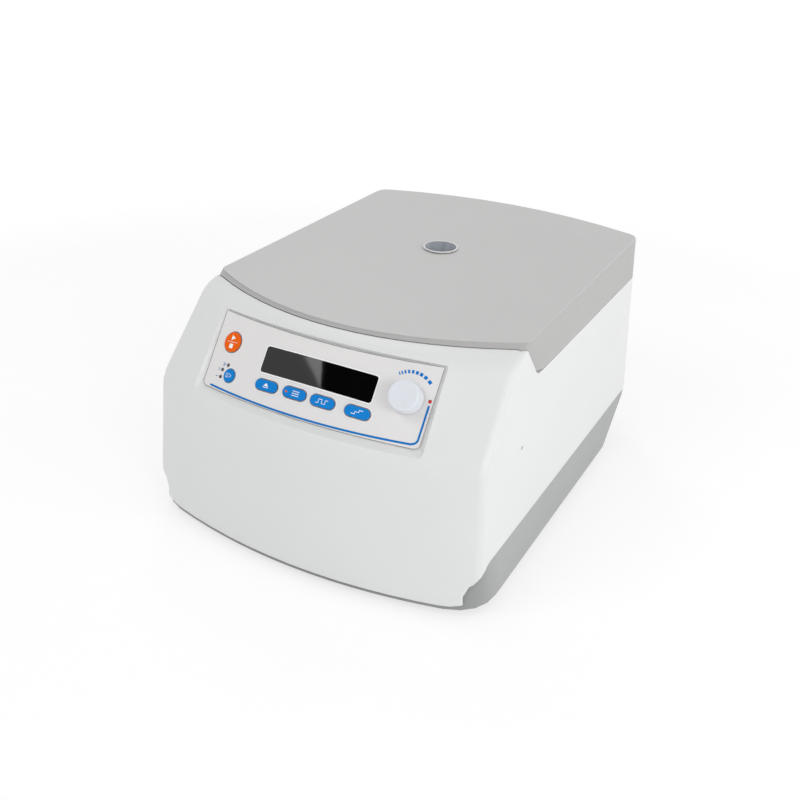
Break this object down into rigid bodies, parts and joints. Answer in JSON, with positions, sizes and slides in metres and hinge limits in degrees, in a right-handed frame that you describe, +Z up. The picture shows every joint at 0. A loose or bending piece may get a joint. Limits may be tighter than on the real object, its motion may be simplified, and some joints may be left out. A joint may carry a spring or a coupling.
{
  "type": "bench centrifuge",
  "caption": "Compact bench centrifuge: lift-up lid with sight port, angle rotor in a steel bowl, sloped panel with display, keys and turning knob.",
  "frame": {"origin": "on the floor, below the middle of the bounding box", "axes": "+X to the right seen from the front, +Y to the rear, +Z up; the control panel faces -Y"},
  "size_m": [0.3136, 0.4248, 0.206],
  "materials": {
    "cover_white": "fine-textured white moulding",
    "lid_grey": "fine-textured light grey moulding",
    "base_grey": "fine-textured grey moulding",
    "foil_pale": "satin printed foil",
    "display_black": "glossy black pane",
    "key_blue": "satin blue",
    "key_orange": "satin orange",
    "knob_pearl": "pearly bluish white",
    "lamp_dark": "dark lens",
    "lamp_red": "red lens",
    "port_grey": "smooth bluish grey",
    "sight_pane": "smoked pane",
    "steel": "brushed",
    "zinc_plated": "zinc-plated sheet",
    "aluminium": "turned and anodised",
    "rubber": "black rubber",
    "gasket_rubber": "grey rubber",
    "sleeve_white": "off-white liner sleeve",
    "board_green": "green circuit board",
    "black_plastic": "black moulding",
    "motor_black": "black painted steel"
  },
  "bodies": {
    "housing": {"housing_cover": "cover_white", "base_tray": "base_grey", "foot_front_left": "rubber", "foot_front_right": "rubber", "foot_rear_left": "rubber", "foot_rear_right": "rubber", "hinge_base_left": "zinc_plated", "hinge_base_right": "zinc_plated", "deck_plate": "cover_white", "chamber_wall": "steel", "chamber_floor": "steel", "bowl_gasket": "gasket_rubber", "motor_boot": "rubber", "motor_body": "motor_black", "motor_plate": "zinc_plated", "motor_damper_1": "rubber", "motor_damper_2": "rubber", "motor_damper_3": "rubber", "lock_frame": "zinc_plated", "solenoid_body": "black_plastic", "panel_overlay": "foil_pale", "display_window": "display_black", "control_board": "board_green", "brake_lamp_1": "lamp_dark", "brake_lamp_2": "lamp_dark", "brake_lamp_3": "lamp_dark", "run_lamp": "lamp_red", "knob_encoder": "black_plastic", "power_inlet": "black_plastic", "power_switch_frame": "black_plastic", "drive_board": "board_green"},
    "lid": {"lid_shell": "lid_grey", "lid_liner": "steel", "lid_striker": "zinc_plated", "sight_bezel": "port_grey", "sight_window": "sight_pane", "hinge_arm_left": "zinc_plated", "hinge_arm_right": "zinc_plated"},
    "rotor": {"rotor_shaft": "steel", "rotor_head": "aluminium", "rotor_nut": "aluminium", "tube_sleeve_1": "sleeve_white", "tube_sleeve_2": "sleeve_white", "tube_sleeve_3": "sleeve_white", "tube_sleeve_4": "sleeve_white", "tube_sleeve_5": "sleeve_white", "tube_sleeve_6": "sleeve_white", "tube_sleeve_7": "sleeve_white", "tube_sleeve_8": "sleeve_white"},
    "lock": {"lock_slider": "steel", "solenoid_plunger": "steel", "release_rod": "steel"},
    "knob": {"speed_knob": "knob_pearl"},
    "rocker": {"power_rocker": "black_plastic"},
    "run_key_cap": {"run_key": "key_orange"},
    "brake_key_cap": {"brake_key": "key_blue"},
    "door_key_cap": {"door_key": "key_blue"},
    "order_key_cap": {"order_key": "key_blue"},
    "pulse_key_cap": {"pulse_key": "key_blue"},
    "program_key_cap": {"program_key": "key_blue"}
  },
  "joints": [
    {"name": "lid_hinge", "type": "hinge", "parent": "housing", "child": "lid", "pos_m": [0, 0.20689, 0.16485], "axis": [-1, 0, 0], "range_deg": [0, 78]},
    {"name": "rotor_spin", "type": "hinge", "parent": "housing", "child": "rotor", "pos_m": [0, 0.03539, 0.1], "axis": [0, 0, 1], "continuous": true},
    {"name": "lock_slide", "type": "slide", "parent": "housing", "child": "lock", "axis": [1, 0, 0], "range_m": [0, 0.008]},
    {"name": "knob_turn", "type": "hinge", "parent": "housing", "child": "knob", "pos_m": [0.07746, -0.16697, 0.16272], "axis": [0.1357, -0.8056, 0.5767], "continuous": true},
    {"name": "rocker_tilt", "type": "hinge", "parent": "housing", "child": "rocker", "pos_m": [0.032, 0.19189, 0.107], "axis": [1, 0, 0], "range_deg": [0, 16]},
    {"name": "run_key_press", "type": "slide", "parent": "housing", "child": "run_key_cap", "axis": [0.1462, 0.8044, -0.5759], "range_m": [0, 0.0008], "stiffness_N_per_m": 600, "springref_m": -0.0008},
    {"name": "brake_key_press", "type": "slide", "parent": "housing", "child": "brake_key_cap", "axis": [0.1331, 0.8059, -0.5769], "range_m": [0, 0.0008], "stiffness_N_per_m": 600, "springref_m": -0.0008},
    {"name": "door_key_press", "type": "slide", "parent": "housing", "child": "door_key_cap", "axis": [0.0663, 0.8113, -0.5808], "range_m": [0, 0.0008], "stiffness_N_per_m": 600, "springref_m": -0.0008},
    {"name": "order_key_press", "type": "slide", "parent": "housing", "child": "order_key_cap", "axis": [0.02, 0.8129, -0.582], "range_m": [0, 0.0008], "stiffness_N_per_m": 600, "springref_m": -0.0008},
    {"name": "pulse_key_press", "type": "slide", "parent": "housing", "child": "pulse_key_cap", "axis": [-0.0243, 0.8129, -0.582], "range_m": [0, 0.0008], "stiffness_N_per_m": 600, "springref_m": -0.0008},
    {"name": "program_key_press", "type": "slide", "parent": "housing", "child": "program_key_cap", "axis": [-0.0765, 0.8107, -0.5804], "range_m": [0, 0.0008], "stiffness_N_per_m": 600, "springref_m": -0.0008}
  ]
}
